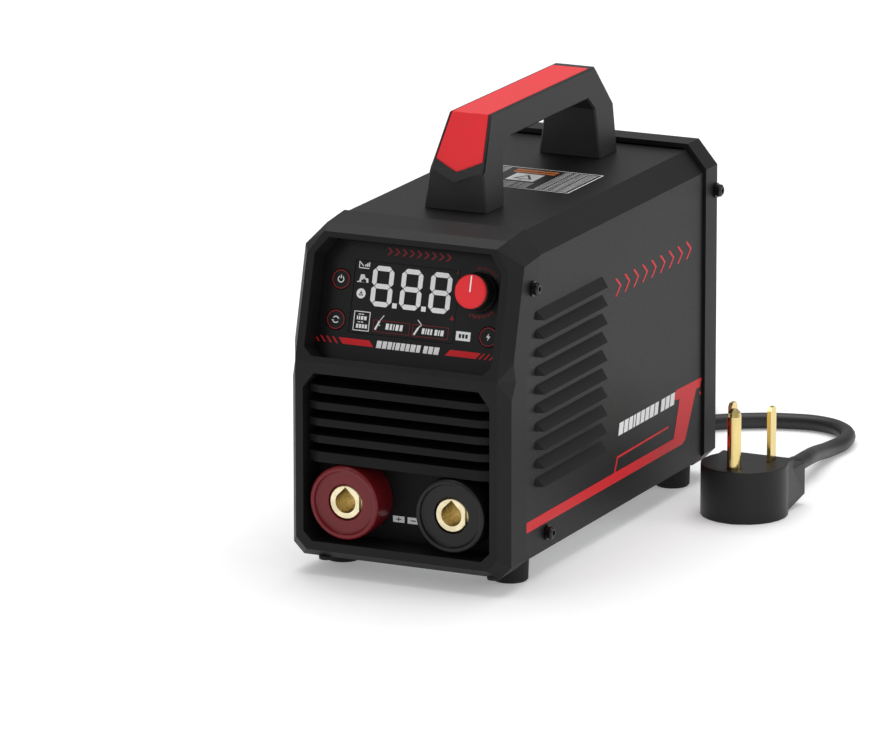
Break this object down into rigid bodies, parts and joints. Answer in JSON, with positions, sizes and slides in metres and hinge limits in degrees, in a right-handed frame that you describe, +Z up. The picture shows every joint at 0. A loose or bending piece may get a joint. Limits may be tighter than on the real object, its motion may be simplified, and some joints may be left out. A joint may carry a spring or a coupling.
{
  "type": "stick welding inverter",
  "caption": "Portable stick welding inverter with tilted digital panel, dial, twin output sockets, louvred steel case, carry handle and mains cord with plug.",
  "frame": {"origin": "on the floor under the middle of the case, measured without the mains cord and plug", "axes": "+Y from the control panel to the rear, +X to the operator's right when facing the panel, +Z up"},
  "size_m": [0.2695, 0.4705, 0.2607],
  "materials": {
    "black_plastic": "fine moulded texture, satin",
    "black_paint": "satin powder coat on sheet steel",
    "panel_black": "smooth printed panel",
    "clear_window": "smoked clear",
    "red_plastic": "satin",
    "red_socket": "dark translucent red",
    "brass": "machined, polished",
    "copper": "plain copper strap",
    "steel": "zinc-plated",
    "black_screw": "black oxide steel",
    "aluminium": "extruded, plain",
    "rubber": "matte",
    "board_green": "glass fibre board",
    "ferrite": "sintered ceramic",
    "winding": "enamelled copper wire",
    "capacitor_sleeve": "shrink sleeve"
  },
  "bodies": {
    "case": {"base_tray": "steel", "bezel_screw_left": "black_screw", "bezel_screw_right": "black_screw", "busbar_negative": "copper", "busbar_positive": "copper", "capacitor_1": "capacitor_sleeve", "capacitor_2": "capacitor_sleeve", "cord_coil": "rubber", "cord_gland": "black_plastic", "cord_lead": "rubber", "cord_tail": "rubber", "dial_encoder": "steel", "digit_display": "panel_black", "display_board": "board_green", "display_panel": "panel_black", "display_window": "clear_window", "fan_frame": "black_plastic", "foot_front_left": "rubber", "foot_front_right": "rubber", "foot_rear_left": "rubber", "foot_rear_right": "rubber", "front_bezel": "black_plastic", "front_grille": "black_plastic", "handle_body": "black_plastic", "handle_inlay": "red_plastic", "handle_screw_front": "black_screw", "handle_screw_rear": "black_screw", "heatsink_left": "aluminium", "heatsink_right": "aluminium", "main_board": "board_green", "output_choke": "winding", "plug_blade_left": "brass", "plug_blade_right": "brass", "plug_body": "rubber", "plug_ground_pin": "brass", "rear_frame": "black_plastic", "rear_panel": "black_paint", "rear_screw_left": "black_screw", "rear_screw_right": "black_screw", "socket_collar_negative": "black_plastic", "socket_collar_positive": "red_socket", "socket_insert_negative": "brass", "socket_insert_positive": "brass", "socket_nut_negative": "black_plastic", "socket_nut_positive": "black_plastic", "switch_body": "black_plastic", "top_cover": "black_paint", "transformer_core": "ferrite", "transformer_winding": "winding", "tray_screw_left": "black_screw", "tray_screw_right": "black_screw"},
    "dial": {"dial_knob": "black_plastic", "dial_cap": "red_plastic", "dial_shaft": "steel"},
    "power_key": {"power_button": "black_plastic"},
    "mode_key": {"mode_button": "black_plastic"},
    "vrd_key": {"vrd_button": "black_plastic"},
    "rotor": {"fan_rotor": "black_plastic"},
    "rocker": {"power_rocker": "red_plastic"}
  },
  "joints": [
    {"name": "dial_turn", "type": "hinge", "parent": "case", "child": "dial", "pos_m": [0.0404, -0.12743, 0.17299], "axis": [0, -0.9648, 0.263], "range_deg": [-150, 150]},
    {"name": "power_press", "type": "slide", "parent": "case", "child": "power_key", "axis": [0, 0.9648, -0.263], "range_m": [0, 0.0008], "stiffness_N_per_m": 600, "springref_m": -0.0004},
    {"name": "mode_press", "type": "slide", "parent": "case", "child": "mode_key", "axis": [0, 0.9648, -0.263], "range_m": [0, 0.0008], "stiffness_N_per_m": 600, "springref_m": -0.0004},
    {"name": "vrd_press", "type": "slide", "parent": "case", "child": "vrd_key", "axis": [0, 0.9648, -0.263], "range_m": [0, 0.0008], "stiffness_N_per_m": 600, "springref_m": -0.0004},
    {"name": "fan_spin", "type": "hinge", "parent": "case", "child": "rotor", "pos_m": [0, 0.1364, 0.128], "axis": [0, 1, 0], "continuous": true},
    {"name": "rocker_tilt", "type": "hinge", "parent": "case", "child": "rocker", "pos_m": [-0.038, 0.1473, 0.056], "axis": [1, 0, 0], "range_deg": [-14, 0]}
  ]
}
